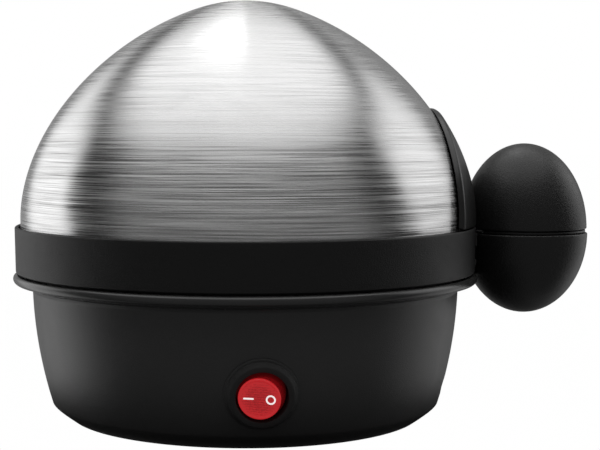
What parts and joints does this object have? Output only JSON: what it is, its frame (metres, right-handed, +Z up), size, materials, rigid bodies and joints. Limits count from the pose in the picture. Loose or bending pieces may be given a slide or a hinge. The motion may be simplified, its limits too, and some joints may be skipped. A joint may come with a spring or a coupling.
{
  "type": "egg cooker",
  "caption": "Electric egg cooker with a black base, an egg tray and a pointed steel lid; half-egg handles on tray and lid, and a round rocker switch.",
  "frame": {"origin": "on the table, at the middle of the footprint of the whole cooker with its handles", "axes": "+Z up, +X from the bowl towards the handles, -Y towards the user, where the switch is"},
  "size_m": [0.215, 0.1714, 0.1531],
  "materials": {
    "housing_black": "satin moulded",
    "tray_black": "matte moulded",
    "handle_black": "matte moulded",
    "shield_black": "polished moulded",
    "lid_steel": "brushed round the axis",
    "pan_aluminium": "spun satin",
    "fitting_steel": "zinc plated",
    "contact_brass": "bright",
    "bezel_black": "satin moulded",
    "lens_red": "clear red lens",
    "lamp_glass": "clear",
    "rubber_black": "matte",
    "seal_silicone": "matte",
    "ceramic_white": "matte ceramic",
    "wire_brown": "smooth",
    "wire_blue": "smooth"
  },
  "bodies": {
    "base": {"housing": "housing_black", "heating_pan": "pan_aluminium", "pan_seal": "seal_silicone", "heating_element": "fitting_steel", "element_tab_1": "fitting_steel", "element_tab_2": "fitting_steel", "thermostat": "ceramic_white", "thermostat_bracket": "fitting_steel", "thermal_fuse": "fitting_steel", "pan_stud_1": "fitting_steel", "pan_stud_2": "fitting_steel", "pan_stud_3": "fitting_steel", "pan_bracket_1": "fitting_steel", "pan_bracket_2": "fitting_steel", "pan_bracket_3": "fitting_steel", "pan_nut_1": "fitting_steel", "pan_nut_2": "fitting_steel", "pan_nut_3": "fitting_steel", "switch_body": "bezel_black", "switch_tab_1": "contact_brass", "switch_tab_2": "contact_brass", "switch_tab_3": "contact_brass", "neon_lamp": "lamp_glass", "cord_bush": "rubber_black", "terminal_block": "ceramic_white", "wire_live": "wire_brown", "wire_heater": "wire_brown", "wire_neutral": "wire_blue", "bottom_cover": "housing_black", "cover_screw_1": "fitting_steel", "cover_screw_2": "fitting_steel", "cover_screw_3": "fitting_steel", "foot_1": "rubber_black", "foot_2": "rubber_black", "foot_3": "rubber_black", "foot_4": "rubber_black"},
    "rocker": {"switch_rocker": "lens_red"},
    "tray": {"egg_tray": "tray_black", "lower_handle_shell": "handle_black", "lower_handle_cap": "handle_black", "lower_handle_screw": "fitting_steel"},
    "lid": {"lid_dome": "lid_steel", "lid_shield": "shield_black", "upper_handle_shell": "handle_black", "upper_handle_cap": "handle_black", "lid_inner_plate": "fitting_steel", "lid_screw_1": "fitting_steel", "lid_screw_2": "fitting_steel"}
  },
  "joints": [
    {"name": "tray_lift", "type": "slide", "parent": "base", "child": "tray", "axis": [0, 0, 1], "range_m": [0, 0.1]},
    {"name": "lid_lift", "type": "slide", "parent": "tray", "child": "lid", "axis": [0, 0, 1], "range_m": [0, 0.12]},
    {"name": "power_rocker", "type": "hinge", "parent": "base", "child": "rocker", "pos_m": [-0.02173, -0.07406, 0.02058], "axis": [0, -0.2026, 0.9793], "range_deg": [0, 22]}
  ]
}
